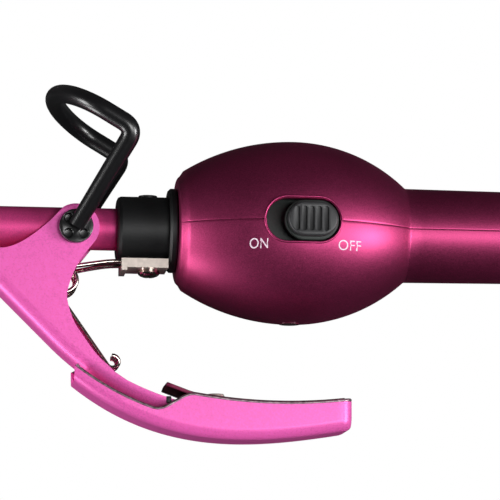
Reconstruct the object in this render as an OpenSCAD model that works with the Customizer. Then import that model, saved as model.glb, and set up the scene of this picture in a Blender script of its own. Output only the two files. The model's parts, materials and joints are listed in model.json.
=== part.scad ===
// Slim curling iron: 9 mm barrel, sprung clamp with a thumb lever, folding wire stand,
// egg-shaped two-half casing with a slide switch, and a swivelling cord outlet.
// +X runs along the barrel towards its tip, +Z towards the thumb lever, and the switch faces -Y.
// The origin is the centre of the mouth of the cord outlet, on the barrel's axis.
// Stations along the iron are measured from the clamp's pivot and are negative towards the tail.

/* [Barrel] */
// Outside diameter of the barrel
barrel_d = 9; // [8:0.5:10]
// Wall of the barrel tube
barrel_wall = 0.5; // [0.4:0.1:0.8]
// Station of the barrel's open end
barrel_end = 158; // [140:1:170]
// Length of the cool tip past the barrel
tip_length = 13; // [8:1:18]

/* [Pivot] */
// Distance from the cord outlet's mouth to the pivot
pivot_x = 194; // [194:1:220]
// Height of the pivot above the barrel's axis
pivot_z = 0.5; // [0:0.1:0.8]
// Diameter of the studs that the clamp and the stand turn on
stud_d = 3; // [2.4:0.2:3.4]
// Running clearance of a bore around its stud, on the radius
stud_gap = 0.05; // [0.03:0.01:0.08]

/* [Clamp] */
// Distance between the outer faces of the bracket's two walls
bracket_w = 12; // [11.8:0.2:12.4]
// Thickness of the pressed sheet
sheet = 0.9; // [0.7:0.1:1]
// Radius of the bracket's ears
ear_r = 5; // [4.6:0.1:5.2]
// Width across the thumb tray
tray_w = 15; // [14:0.5:16]
// Thickness of the spoon that lies on the barrel
spoon_t = 0.6; // [0.5:0.1:0.8]

/* [Stand] */
// Diameter of the stand's rod
rod_d = 4; // [3.4:0.2:4.4]
// Half of the distance between the stand's two corners
corner_y = 17; // [16:0.5:19]
// Diameter of the hub discs
hub_d = 7.2; // [6.8:0.2:7.8]

/* [Casing] */
// Radius of the egg at its crown
egg_r = 19.6; // [18.5:0.1:20.5]
// Wall of the casing
wall = 2; // [1.6:0.1:2.4]
// Radius of the handle where it leaves the egg
handle_r = 10.1; // [9.6:0.1:10.4]
// Radius of the handle at the tail
tail_r = 9.2; // [8.8:0.1:9.6]

/* [Switch] */
// Length of the slot that the switch slides in
slot_length = 15.6; // [15.4:0.2:17]
// Height of the slot
slot_height = 9.1; // [8.9:0.2:10.1]
// Travel of the switch from OFF to ON
switch_travel = 3.6; // [2.6:0.2:3.6]

/* [Hidden] */

$fn = 64;
cut = 0.1;                         // how far a cutter runs past the face that it opens
barrel_r = barrel_d / 2;
bore_r = barrel_r - barrel_wall;
stud_r = stud_d / 2;
wall_y = bracket_w / 2;            // outer face of a bracket wall

// Casing stations and arcs. The egg is two arcs that share a level tangent at the crown.
egg_front = -21.6;
crown_x = -46.5;
egg_rear = -70.8;
tail_x = -174;
front_arc = 44;
egg_drop = egg_r - handle_r;
rear_run = crown_x - egg_rear;
rear_arc = (egg_drop * egg_drop + rear_run * rear_run) / (2 * egg_drop);
front_round = 1.4;
bosses = [[-33, 8], [-100, 0], [-145, 0]];
lens_r = 2.2;

// Collar between the barrel and the casing
collar_front = -8.9;
collar_back = -19.8;
collar_r = 7.1;
collar_flat = 6.75;                // height of the flat that the spring clip is screwed to
flange_r = 9;
neck_r = 6;

// Spring clip
clip_screw_x = -15.9;
clip_z = 7.8;
clip_t = 0.9;
clip_w = 10;

// Spine of the bracket: a straight run towards the nose, then an arc towards the thumb tray
knee = [4.85, 25];
spine_angle = 135.5;               // direction of the straight run, seen from -Y
spine_r = 58.5;
spine_round = 2.8;                 // radius of the bend between the spine and a wall
nose_r = 10;                       // where the spine curves down on to the spoon
tongue_z = barrel_r + spoon_t + sheet + 0.12;
nose_s = (tongue_z + nose_r * (1 - sin(spine_angle - 90)) - knee[1]) / sin(spine_angle);
tail_s = 40;
nose_tip_x = 40;

// Thumb tray
tray_end = 58.8;
tray_skin = 1;
tray_round = 2.6;
liner_t = 1.1;
liner_start = 19.2;
thumb_screw_x = 28.8;

// Torsion spring
wire_r = 0.5;
coil_c = [2.2, 11.5];
coil_r = 2.6;
coil_turns = 2;                    // whole turns, before the part of a turn that reaches the arm
coil_y = 1.8;                      // inner end of each coil
leg_y = 3.4;                       // where the two legs run under the clip
arm_angle = 125.3;                 // direction of the arms, from the coil to the bracket's spine
arm_length = 20;
curl_r = 1.25;

// Stand, with its legs at the angle at which it carries the parked iron
corner = [-11.48, -18.75];
loop_dir = [0.861, -0.509];
loop_run = 18.6;                   // from the corner to the middle of the closing bar
loop_straight = 7;
foot_y = 8.3;
bend_r = 3;
hub_inner = wall_y + 0.15;
hub_outer = 7.7;

// Switch and board
slot_x = -46.7;
knob_rest = slot_x - switch_travel / 2;
knob_l = 10.4;                     // raised top of the knob
knob_h = 7.2;
base_l = 11.4;                     // base of the knob, which fills the slot's width
base_h = 8.5;
shield_r = 15.4;                   // curved shield that hides the inside at either position
rib_pitch = 1.5;
board_y = -7;
led_z = 12;

// Swivel outlet
cord_bore = 3;

// ---------------------------------------------------------------- helpers

function unit(v) = v / norm(v);
function flat_arc(c, r, a0, a1, n) = [for (i = [0 : n]) let (a = a0 + (a1 - a0) * i / n) c + r * [cos(a), sin(a)]];

// Casing's outside radius at a station between its front face and the tail
function casing_r(x) =
    x > crown_x ? egg_r - front_arc + sqrt(front_arc * front_arc - (x - crown_x) * (x - crown_x))
    : x > egg_rear ? egg_r - rear_arc + sqrt(rear_arc * rear_arc - (x - crown_x) * (x - crown_x))
    : handle_r + (tail_r - handle_r) * (x - egg_rear) / (tail_x - egg_rear);

// Point of the bracket's spine at length s from the knee, moved inwards by d
function spine(s, d = 0) =
    let (a = spine_angle - 90, out = [cos(a), sin(a)], c = knee - spine_r * out)
    s < 0 ? knee + s * [cos(spine_angle), sin(spine_angle)] - d * out
    : let (b = a + s / spine_r * 180 / PI) c + (spine_r - d) * [cos(b), sin(b)];
function spine_out(s) = let (a = spine_angle - 90 + (s < 0 ? 0 : s / spine_r * 180 / PI)) [cos(a), sin(a)];

// Outer curve of the thumb tray, u being the distance from the pivot towards the tail
function tray_top(u) = 33.2 + 0.77 * u - 0.0152 * u * u + 0.000082 * u * u * u;
// Rim of the thumb tray: shallow over the bracket's tail, an S-step, then deep to the end
function tray_rim(u) =
    let (shallow = tray_top(u) - 3.2, deep = 37.5 - 0.0045 * (u - 44) * (u - 44),
         t = min(1, max(0, (u - 16.5) / 9)), s = t * t * (3 - 2 * t))
    shallow * (1 - s) + deep * s;

module at_pivot() { translate([pivot_x, 0, 0]) children(); }
// Along the barrel's axis, from station x0 to x1
module along_x(x0, x1, r) { translate([x0, 0, 0]) rotate([0, 90, 0]) cylinder(h = x1 - x0, r = r); }
module tube_x(x0, x1, r, hole) { difference() { along_x(x0, x1, r); along_x(x0 - cut, x1 + cut, hole); } }
module across_y(x, z, y0, y1, r) { translate([x, y0, z]) rotate([-90, 0, 0]) cylinder(h = y1 - y0, r = r); }
// Prism with round ends along Y, centred on station x
module stadium_y(x, length, height, y0, y1) {
    half = (length - height) / 2;
    for (end = [-half, half]) across_y(x + end, 0, y0, y1, height / 2);
    translate([x - half, y0, -height / 2]) cube([2 * half, y1 - y0, height]);
}
module up_z(x, y, z0, z1, r) { translate([x, y, z0]) cylinder(h = z1 - z0, r = r); }
// Turns a profile of [station, radius] about the barrel's axis
module lathe_x(points) { rotate([0, 90, 0]) rotate_extrude($fn = 96) polygon([for (p = points) [p[1], p[0]]]); }
// Lifts an outline of [x, z] to the slab between y0 and y1
module side_slab(y0, y1) { translate([0, y1, 0]) rotate([90, 0, 0]) linear_extrude(y1 - y0) children(); }
module both_sides() { children(); mirror([0, 1, 0]) children(); }

// Solid through a list of closed rings with equal numbers of points
module loft(rings) {
    n = len(rings[0]);
    last = (len(rings) - 1) * n;
    points = [for (ring = rings) for (p = ring) p];
    sides = [for (k = [0 : len(rings) - 2]) for (i = [0 : n - 1])
             let (j = (i + 1) % n) [k * n + i, k * n + j, (k + 1) * n + j, (k + 1) * n + i]];
    polyhedron(points, concat(sides, [[for (i = [n - 1 : -1 : 0]) i], [for (i = [0 : n - 1]) last + i]]));
}

// Round rod along a path. radius is a list with one value a point.
function path_dirs(p) = [for (i = [0 : len(p) - 1]) unit(p[min(i + 1, len(p) - 1)] - p[max(i - 1, 0)])];
function square_to(v, t) = unit(v - (v * t) * t);
function path_frames(t, start) =
    [for (i = 0, v = square_to(start, t[0]); i < len(t); i = i + 1, v = i < len(t) ? square_to(v, t[i]) : v) v];
module rod(path, radius, sides, start) {
    t = path_dirs(path);
    v = path_frames(t, start);
    loft([for (i = [0 : len(path) - 1])
          [for (k = [0 : sides - 1]) let (a = -360 * k / sides)
           path[i] + radius[i] * (cos(a) * v[i] + sin(a) * cross(t[i], v[i]))]]);
}

// ---------------------------------------------------------------- barrel

module barrel_tube() {
    color("MediumVioletRed") at_pivot() difference() {
        tube_x(-30, barrel_end, barrel_r, bore_r);
        across_y(0, pivot_z, -barrel_d, barrel_d, stud_r);
    }
}

module insulator_sleeve() {
    color("Ivory") at_pivot() tube_x(6, barrel_end - 9, bore_r, 3.1);
}

module heater_core() {
    color("WhiteSmoke") at_pivot() tube_x(7, barrel_end - 10, 3.1, 0.8);
}

module heater_leads() {
    color("DarkRed") at_pivot() both_sides() translate([0, 0.9, 2.4])
        rotate([0, 90, 0]) translate([0, 0, -41]) cylinder(h = 48, r = 0.45, $fn = 24);
}

module thermal_fuse() {
    color("Silver") at_pivot() {
        translate([0, 0, -2]) along_x(-18, -8, 1.3);
        translate([0, 0, -2]) along_x(-8, 7, 0.4);
        translate([0, 0, -2]) along_x(-41, -18, 0.4);
    }
}

module tip_cap() {
    tip_r = barrel_r + 1;
    tip_end = barrel_end + tip_length;
    color("#1c1b1d") at_pivot() lathe_x(concat(
        [[barrel_end - 8, 0], [barrel_end - 8, bore_r], [barrel_end, bore_r], [barrel_end, tip_r - 0.4],
         [barrel_end + 0.4, tip_r]],
        [for (a = [0 : 10 : 90]) [tip_end - 4.5 + 4.5 * sin(a), tip_r - 3.5 + 3.5 * cos(a)]],
        [[tip_end, 0]]));
}

// Two studs riveted through the barrel's wall, each with a shoulder that spaces the bracket
module pivot_studs() {
    color("Silver") at_pivot() both_sides() {
        across_y(0, pivot_z, bore_r - 0.5, hub_inner + 0.4, stud_r);
        difference() {
            across_y(0, pivot_z, 3.5, wall_y - sheet - 0.1, 2.4);
            along_x(-5, 5, barrel_r);
        }
    }
}

// ---------------------------------------------------------------- collar and spring clip

module collar() {
    color("#1d1e20") at_pivot() difference() {
        union() {
            intersection() {
                lathe_x([[collar_back, 0], [collar_back, collar_r], [collar_front - 0.9, collar_r],
                         [collar_front - 0.27, collar_r - 0.27], [collar_front, collar_r - 0.9],
                         [collar_front, 0]]);
                translate([collar_back - 1, -10, -10]) cube([collar_front - collar_back + 2, 20, 10 + collar_flat]);
            }
            up_z(-15.6, 0, -collar_r - 0.25, -collar_r + 1, 2);
            lathe_x([[egg_front, 0], [egg_front, flange_r - 0.4], [egg_front + 0.4, flange_r],
                     [collar_back - 0.5, flange_r], [collar_back, flange_r - 0.5], [collar_back, 0]]);
            along_x(egg_front - wall - 1, egg_front, neck_r);
            along_x(egg_front - wall - 3, egg_front - wall - 0.05, neck_r + 2);
        }
        along_x(-40, 0, barrel_r);
        up_z(clip_screw_x, 0, 3, 8, 1.2);
    }
}

module clip_plate() {
    front = collar_front - 0.9;
    back = collar_back + 0.1;
    color("#b9a79b") at_pivot() difference() {
        union() {
            translate([back, -clip_w / 2, clip_z]) cube([front - back, clip_w, clip_t]);
            translate([front - 1.2, -clip_w / 2, clip_z + clip_t]) cube([1.2, clip_w, 0.6]);
            both_sides() translate([back, clip_w / 2 - 0.9, collar_flat]) cube([front - back, 0.9, clip_z - collar_flat]);
            up_z(clip_screw_x, 0, collar_flat, clip_z, 2.2);
        }
        up_z(clip_screw_x, 0, collar_flat - 1, clip_z + 2, 1.3);
    }
}

// Pan-head screw standing on z0, with its shank below and a crossed recess in its head
module pan_screw(x, y, z0, head_r, head_h, shank_r, shank_l) {
    translate([x, y, z0]) {
        difference() {
            rotate_extrude() polygon(concat([[0, 0], [head_r, 0], [head_r, head_h * 0.35]],
                [for (a = [20 : 20 : 80]) [head_r * cos(a), head_h * (0.35 + 0.65 * sin(a))]], [[0, head_h]]));
            for (a = [0, 90]) rotate([0, 0, a]) translate([-head_r * 0.6, -0.25, head_h * 0.45])
                cube([head_r * 1.2, 0.5, head_h]);
        }
        translate([0, 0, -shank_l]) cylinder(h = shank_l, r = shank_r);
    }
}

module clip_screw() {
    color("#c9bdb4") at_pivot() pan_screw(clip_screw_x, 0, clip_z + clip_t, 2.35, 1.6, 1.2, 3.6);
}

// ---------------------------------------------------------------- casing

// Outline of the casing moved inwards by d, from its axis to its surface
function casing_outline(d) = concat(
    [[tail_x, 0], [tail_x, casing_r(tail_x) - d], [egg_rear - 0.2, handle_r - d]],
    [for (i = [1 : 14]) let (x = egg_rear + (crown_x - egg_rear) * i / 14) [x, casing_r(x) - d]],
    [for (i = [1 : 12]) let (x = crown_x + (egg_front - front_round - crown_x) * i / 12) [x, casing_r(x) - d]],
    d > 0 ? [[egg_front - d, casing_r(egg_front) - d - 0.6]]
    : flat_arc([egg_front - front_round, casing_r(egg_front) - front_round], front_round, 70, 0, 4),
    [[egg_front - d, 0]]);

module slot_prism(grow, y0, y1) { stadium_y(slot_x, slot_length + 2 * grow, slot_height + 2 * grow, y0, y1); }

// One solid for the whole casing, which each half keeps its own side of
module casing() {
    difference() {
        union() {
            lathe_x(casing_outline(0));
            intersection() {
                slot_prism(0.55, -egg_r - 2, -egg_r + 4);
                lathe_x(concat([for (i = [0 : 12]) let (x = -60 + 27 * i / 12) [x, casing_r(x) + 0.3]],
                               [[-33, 10], [-60, 10]]));
            }
        }
        lathe_x(casing_outline(wall));
        slot_prism(0, -egg_r - 3, -egg_r + 5);
        along_x(egg_front - wall - 1, egg_front + 1, neck_r + 0.05);
        along_x(tail_x - 1, tail_x + 4, tail_r - 1.2);
    }
}

module shell_lever_side() {
    color("#8c1f4d") at_pivot() difference() {
        union() {
            intersection() { casing(); translate([tail_x - 1, -30, 0.03]) cube([160, 60, 30]); }
            for (b = bosses) intersection() {
                up_z(b[0], b[1], 0.03, 25, 2.6);
                lathe_x(casing_outline(wall - 0.2));
            }
        }
        up_z(crown_x + 0.4, 0, egg_r - 4, egg_r + 2, lens_r);
        for (b = bosses) up_z(b[0], b[1], -1, 5, 0.9);
    }
}

module shell_stand_side() {
    color("#8c1f4d") at_pivot() difference() {
        union() {
            intersection() { casing(); translate([tail_x - 1, -30, -30.03]) cube([160, 60, 30]); }
            for (b = bosses) intersection() {
                up_z(b[0], b[1], -25, -0.03, 3.2);
                lathe_x(casing_outline(wall - 0.2));
            }
        }
        for (b = bosses) {
            up_z(b[0], b[1], -3.2, 1, 1.3);
            up_z(b[0], b[1], -30, -3, 2.4);
        }
    }
}

module shell_screws() {
    color("DimGray") at_pivot() for (b = bosses) mirror([0, 0, 1]) pan_screw(b[0], b[1], 3, 2.1, 1.4, 0.9, 7);
}

module tail_ring() {
    color("#1d1e20") at_pivot() lathe_x([
        [tail_x - 5, neck_r + 0.1], [tail_x - 5, tail_r - 1.4], [tail_x - 4.2, tail_r - 0.5],
        [tail_x - 1, tail_r], [tail_x, tail_r], [tail_x, tail_r - 1.2], [tail_x + 4, tail_r - 1.2],
        [tail_x + 4, neck_r + 0.1]]);
}

// ---------------------------------------------------------------- electrics

module switch_body() {
    color("Gainsboro") at_pivot() {
        translate([slot_x - 9, board_y - 5.8, -4]) cube([18, 5.8, 8]);
        for (x = [-6, 0, 6]) translate([slot_x + x - 0.4, board_y + 1.6, -0.8]) cube([0.8, 1.6, 1.6]);
    }
}

module control_board() {
    color("DarkGreen") at_pivot() {
        translate([-64, board_y, -10]) cube([27, 1.6, 20]);
        translate([-60, board_y + 1.6, -8]) cube([7, 6, 5]);
        translate([-50, board_y + 1.6, 3]) cube([9, 4, 5]);
        across_y(-59, 5, board_y + 1.6, board_y + 9, 2.6);
    }
}

module indicator_led() {
    color("Tomato") at_pivot() {
        up_z(crown_x + 0.4, 0, led_z, egg_r - 2.8, 1.5);
        translate([crown_x - 1.6, -5.4, led_z - 1.2]) cube([4, 6.4, 1.2]);
        translate([crown_x - 1, -5.4, 10]) cube([0.5, 0.5, led_z - 11.2]);
        translate([crown_x + 1.4, -5.4, 10]) cube([0.5, 0.5, led_z - 11.2]);
    }
}

module indicator_lens() {
    color("#6b1230") at_pivot() {
        up_z(crown_x + 0.4, 0, egg_r - 2.65, egg_r + 0.1, lens_r - 0.02);
        up_z(crown_x + 0.4, 0, egg_r - 2.65, egg_r - 2.3, lens_r + 0.4);
    }
}

// Two insulated wires from the outlet's contacts to the board
module supply_leads() {
    color("DimGray") at_pivot() both_sides() translate([0, 4.6, 0]) along_x(tail_x + 22, -64.2, 0.5);
}

// ---------------------------------------------------------------- swivelling cord outlet

module contact_carrier() {
    front = tail_x + 22;
    color("Gainsboro") at_pivot() difference() {
        union() {
            along_x(tail_x + 16, front, tail_r - wall + 0.1);
            along_x(tail_x + 12, tail_x + 16, 5);
        }
        for (y = [-2.4, 2.4]) translate([0, y, 0]) along_x(tail_x + 10, front + 1, 0.7);
    }
}

module slip_rings() {
    color("Goldenrod") at_pivot() for (x = [7, 9.6]) tube_x(tail_x + x, tail_x + x + 1.6, 5.6, 4.4);
}

// Turns inside the tail ring: a flange behind the ring, and a tapered nose with the cord's bore
module swivel_gland() {
    color("#1d1e20") difference() {
        lathe_x([[0, 0], [0, 4.3], [0.6, 4.8], [13, neck_r - 0.4], [pivot_x + tail_x - 5, neck_r],
                 [pivot_x + tail_x + 4.2, neck_r], [pivot_x + tail_x + 4.2, neck_r + 0.9],
                 [pivot_x + tail_x + 6, neck_r + 0.9], [pivot_x + tail_x + 6, 4.4],
                 [pivot_x + tail_x + 11.6, 4.4], [pivot_x + tail_x + 11.6, 0]]);
        along_x(-1, pivot_x + tail_x + 20, cord_bore);
    }
}

// ---------------------------------------------------------------- clamp

// Section of a pressed channel seen as a solid block with two round edges, as [y, depth] pairs.
// A channel is the block moved in by 0, less the same block moved in by its thickness.
function block(half, r, depth) =
    let (bend = flat_arc([half - r, r], r, 0, -90, 5))
    concat([[half, depth]], bend, [for (i = [5 : -1 : 0]) [-bend[i][0], bend[i][1]]], [[-half, depth]]);

// Where the nose leaves the straight run it curves down on to the spoon and narrows
function nose_path(t) =
    let (start = spine(nose_s), turn = spine_angle - 90, c = start + nose_r * spine_out(nose_s))
    t < 1 ? let (a = turn - 180 + t * (90 - turn)) concat(c + nose_r * [cos(a), sin(a)], [a + 180])
    : concat([c[0] + (t - 1) * (nose_tip_x - c[0]), c[1] - nose_r], [90]);
function nose_ring(t, d) =
    let (p = nose_path(t), half = wall_y - min(1, t) * 2.2 - d, depth = 5.2 - 3.5 * min(1, t * 1.1))
    [for (q = block(half, min(spine_round, depth - 0.1) - d, depth + (d > 0 ? 1 : 0)))
     [p[0] - (q[1] + d) * cos(p[2]), q[0], p[1] - (q[1] + d) * sin(p[2])]];
function spine_ring(s, d) =
    let (depth = 3 + 2.2 * max(0, 1 - (s - nose_s) / 6))
    [for (q = block(wall_y - d, spine_round - d, depth + (d > 0 ? 1 : 0)))
     [spine(s, q[1] + d)[0], q[0], spine(s, q[1] + d)[1]]];
// Rings from the tip of the tongue to the end inside the thumb tray. The hollow runs past both
// ends, and its rings stand half a step away from the outer ones.
function bracket_rings(d) =
    let (shift = d > 0 ? 0.5 : 0, step = (tail_s - nose_s) / 21)
    concat([for (i = [d > 0 ? -1 : 0 : 9]) nose_ring(2 - 0.2 * (i + shift), d)],
           [for (i = [0 : 21]) spine_ring(nose_s + step * (i + shift), d)]);

// Flat wall of the bracket, from the ear on the pivot to the bend of the spine
module wall_outline() {
    difference() {
        union() {
            polygon(concat(
                [for (i = [0 : 7]) spine(nose_s + (18 - nose_s) * i / 7, 2.9)],
                [[-7.3, 29.9], [-4.7, 27.5], [-2.1, 24], [0, 20.9], [1.2, 17.8], [1.7, 15.2], [1.3, 12.9],
                 [0.3, 10], [-1.1, 7.3], [-2.9, 4.9]],
                flat_arc([0, pivot_z], ear_r, 146, 302, 10),
                [[5.5, -0.7], [7.9, 1.4], [10.3, 3.2], [12.7, 4.8], [14.3, 5.4], [15.8, 5.7]]));
        }
        translate([0, pivot_z]) circle(r = stud_r + stud_gap);
    }
}

module clamp_bracket() {
    tab = spine(19, 3);
    color("HotPink") at_pivot() difference() {
        union() {
            both_sides() side_slab(wall_y - sheet + 0.04, wall_y - 0.04) wall_outline();
            difference() {
                loft(bracket_rings(0));
                loft(bracket_rings(sheet));
            }
            both_sides() translate([tab[0], 1, tab[1]]) rotate([0, -arm_angle + 90, 0]) cube([2.6, 2.6, 1.2]);
        }
        up_z(-thumb_screw_x, 0, 38, 43, 1);
    }
}

// Half-round spoon on the lever side of the barrel
module clamp_spoon() {
    inner = barrel_r + 0.04;
    outer = inner + spoon_t;
    color("MediumVioletRed") at_pivot() difference() {
        intersection() {
            tube_x(20, barrel_end - 4, outer, inner);
            translate([0, -8, 0.8]) cube([barrel_end, 16, 8]);
        }
        for (y = [-1, 1]) translate([20, y * 9, 0]) rotate([0, 0, -y * 28]) translate([-10, -5, -1]) cube([16, 10, 8]);
    }
}

// Solid section across the tray at distance u from the pivot, moved inwards by d. Both of its
// upper edges are round, and it reaches down to the rim, or past it where it is the hollow.
function tray_ring(u, d) =
    let (half = tray_w / 2 * min(1, 0.94 + u * 0.006) - d, top = tray_top(u) - d)
    [for (q = block(half, tray_round - d, top - tray_rim(u) + (d > 0.8 ? 2 : 0))) [-u, q[0], top - q[1]]];

module thumb_tray() {
    hollow_end = tray_end - tray_skin;
    color("HotPink") at_pivot() difference() {
        union() {
            difference() {
                loft(concat([for (i = [0 : 26]) tray_ring((tray_end - 1) * i / 26, 0)],
                            [tray_ring(tray_end - 0.3, 0.25), tray_ring(tray_end, 0.7)]));
                loft([for (i = [-1 : 25]) tray_ring(hollow_end * i / 25, tray_skin)]);
            }
            up_z(-thumb_screw_x, 0, 41.65, tray_top(thumb_screw_x) - 0.5, 2.4);
        }
        up_z(-thumb_screw_x, 0, 40, 43.2, 0.95);
    }
}

// Plate that closes the deep end of the tray. It is held by one screw.
function liner_top(u) = tray_rim(max(u, 25)) - liner_t - 0.02 - 0.37 * max(0, 25 - u);
module thumb_liner() {
    n = 14;
    end = tray_end - 1.4;
    half = tray_w / 2 - 0.5;
    color("#8c1f4d") at_pivot() difference() {
        union() {
            loft([for (i = [0 : n]) let (u = liner_start + (end - liner_start) * i / n, z = liner_top(u))
                  [[-u, half, z], [-u, half, z + liner_t], [-u, -half, z + liner_t], [-u, -half, z]]]);
            translate([-21.8, -4.5, liner_top(21) + 0.8]) cube([1.4, 9, 2.6]);
            up_z(-thumb_screw_x, 0, tray_rim(thumb_screw_x) - 0.5, 39.5, 2.4);
        }
        up_z(-thumb_screw_x, 0, 30, 42, 1);
    }
}

module thumb_screw() {
    color("#c9bdb4") at_pivot() translate([-thumb_screw_x, 0, liner_top(thumb_screw_x) - 0.26]) mirror([0, 0, 1])
        pan_screw(0, 0, 0, 1.7, 0.9, 0.9, 7.4);
}

// One coil, from its leg under the clip to the curled end of its arm, for the +Y side
function coil_path() =
    let (steps = 44, leave = arm_angle - 90, turn = 360 * coil_turns + 90 + leave,
         outer_y = coil_y + 2.2 * wire_r * turn / 360,
         start = [coil_c[0] + coil_r * cos(leave), coil_y, coil_c[1] + coil_r * sin(leave)],
         dir = [cos(arm_angle), 0, sin(arm_angle)],
         tip = start + arm_length * dir,
         curl = [tip[0] - curl_r * cos(leave), tip[2] - curl_r * sin(leave)])
    concat(
        [[clip_screw_x + 2.6, leg_y, collar_flat + wire_r + 0.02], [-8, leg_y, 7.35], [-4, leg_y + 0.3, 7.9],
         [-0.5, outer_y - 0.1, coil_c[1] - coil_r - 0.35]],
        [for (i = [0 : steps]) let (a = 270 + turn * i / steps)
         [coil_c[0] + coil_r * cos(a), outer_y + (coil_y - outer_y) * i / steps, coil_c[1] + coil_r * sin(a)]],
        [for (f = [0.25 : 0.25 : 1]) start + f * arm_length * dir],
        [for (a = [30 : 30 : 240])
         [curl[0] + curl_r * cos(leave + a), coil_y + a * 0.004, curl[1] + curl_r * sin(leave + a)]]);

module torsion_spring() {
    path = coil_path();
    color("Silver") at_pivot() both_sides() rod(path, [for (p = path) wire_r], 8, [0, 1, 0]);
}

// ---------------------------------------------------------------- stand

// Half of the stand's centre line, from its foot on the hub to the middle of the closing bar
function stand_half() =
    let (foot = [0, foot_y, pivot_z], vertex = [corner[0], corner_y, corner[1]],
         e = [loop_dir[0], 0, loop_dir[1]], leg = unit(foot - vertex), side = unit(e),
         from = vertex + bend_r * leg, to = vertex + bend_r * side)
    concat([for (f = [0 : 0.2 : 1]) foot + f * (from - foot)],
           [for (f = [0.125 : 0.125 : 0.875]) (1 - f) * (1 - f) * from + 2 * f * (1 - f) * vertex + f * f * to],
           [to, vertex + 5 * side],
           [for (a = [90 : -7.5 : 0]) vertex + (loop_straight + (loop_run - loop_straight) * cos(a)) * e
            + [0, corner_y * (sin(a) - 1), 0]]);

module stand_loop() {
    half = stand_half();
    n = len(half);
    path = concat(half, [for (i = [n - 2 : -1 : 0]) [half[i][0], -half[i][1], half[i][2]]]);
    taper = [for (p = path) rod_d / 2 * min(1, 0.88 + 0.006 * norm([p[0], 0, p[2]]))];
    color("#17171a") at_pivot() rod(path, taper, 20, [0, 0, 1]);
}

// Straight cutter along a leg, where the rod is let into the disc
module stand_leg_cutter() {
    leg = [corner[0], corner_y - foot_y, corner[1] - pivot_z];
    translate([0, foot_y, pivot_z]) rotate([0, acos(leg[2] / norm(leg)), atan2(leg[1], leg[0])])
        cylinder(h = 10, r = 0.88 * rod_d / 2 + 0.02);
}

// Hub discs: a cross web with four rounded pockets in the outer face
module stand_hubs() {
    color("#17171a") at_pivot() both_sides() difference() {
        across_y(0, pivot_z, hub_inner, hub_outer, hub_d / 2);
        across_y(0, pivot_z, hub_inner - 1, hub_inner + 1, stud_r + stud_gap);
        stand_leg_cutter();
        for (a = [45 : 90 : 315]) translate([0, 0, pivot_z]) rotate([0, a, 0])
            translate([2.35, 0, 0]) across_y(0, 0, hub_outer - 0.4, hub_outer + 1, 0.9);
    }
}

// ---------------------------------------------------------------- switch knob

// Stadium knob with five ribs, on a stem that carries the curved shield and drives the switch
module switch_knob() {
    face = -egg_r - 1.2;
    color("#2a292c") at_pivot() {
        stadium_y(knob_rest, base_l, base_h, -egg_r + 0.3, -egg_r + 3.4);
        stadium_y(knob_rest, knob_l, knob_h, face, -egg_r + 1);
        for (i = [-2 : 2]) translate([knob_rest + i * rib_pitch, face, -2.6]) cylinder(h = 5.2, r = 0.4, $fn = 24);
        translate([knob_rest - 1.5, -egg_r + 3, -1.5]) cube([3, 3.65, 3]);
        intersection() {
            tube_x(knob_rest - 9.8, knob_rest + 9.8, shield_r, shield_r - 0.8);
            translate([knob_rest - 10, -20, -5.5]) cube([20, 20, 11]);
        }
    }
}

barrel_tube();
insulator_sleeve();
heater_core();
heater_leads();
thermal_fuse();
tip_cap();
pivot_studs();
collar();
clip_plate();
clip_screw();
shell_lever_side();
shell_stand_side();
shell_screws();
switch_body();
control_board();
indicator_led();
indicator_lens();
tail_ring();
contact_carrier();
slip_rings();
swivel_gland();
clamp_bracket();
clamp_spoon();
thumb_tray();
thumb_liner();
thumb_screw();
torsion_spring();
stand_loop();
stand_hubs();
switch_knob();
supply_leads();
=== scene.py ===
"""Slim curling iron: sprung clamp, thumb lever, folding wire stand and egg-shaped housing with a switch.

Shapes are made in millimetres from the clamp's pivot: x runs to the tip, z to the thumb lever, and the
switch faces -y. place() puts them on the frame.
"""
import json
import math

import bmesh
import bpy
from mathutils import Matrix, Vector


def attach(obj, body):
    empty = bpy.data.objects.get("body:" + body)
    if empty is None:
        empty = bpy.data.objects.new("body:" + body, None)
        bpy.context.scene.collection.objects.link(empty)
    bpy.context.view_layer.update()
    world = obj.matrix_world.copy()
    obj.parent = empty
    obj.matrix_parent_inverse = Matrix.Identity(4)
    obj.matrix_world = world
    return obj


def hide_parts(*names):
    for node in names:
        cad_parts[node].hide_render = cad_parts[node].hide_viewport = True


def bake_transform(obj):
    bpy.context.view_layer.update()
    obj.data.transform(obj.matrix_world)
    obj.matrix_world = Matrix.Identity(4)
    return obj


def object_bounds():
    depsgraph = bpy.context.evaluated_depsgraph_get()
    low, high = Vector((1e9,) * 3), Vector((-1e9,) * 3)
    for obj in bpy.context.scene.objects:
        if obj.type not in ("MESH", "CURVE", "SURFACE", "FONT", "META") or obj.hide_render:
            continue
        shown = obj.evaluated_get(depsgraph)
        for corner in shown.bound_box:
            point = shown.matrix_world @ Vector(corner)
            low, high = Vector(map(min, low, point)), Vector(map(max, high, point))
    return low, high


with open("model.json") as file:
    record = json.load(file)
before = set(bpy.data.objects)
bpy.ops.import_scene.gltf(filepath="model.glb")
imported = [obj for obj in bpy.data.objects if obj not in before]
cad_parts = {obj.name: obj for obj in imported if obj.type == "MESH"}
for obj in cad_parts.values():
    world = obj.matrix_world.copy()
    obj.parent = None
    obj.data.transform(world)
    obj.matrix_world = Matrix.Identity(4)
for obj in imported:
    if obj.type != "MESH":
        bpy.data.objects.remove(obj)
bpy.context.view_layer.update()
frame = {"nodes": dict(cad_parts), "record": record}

MM = 0.001
PIVOT_X = 0.194
TO_FRAME = Matrix.Translation((PIVOT_X, 0, 0)) @ Matrix.Scale(MM, 4)

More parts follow.
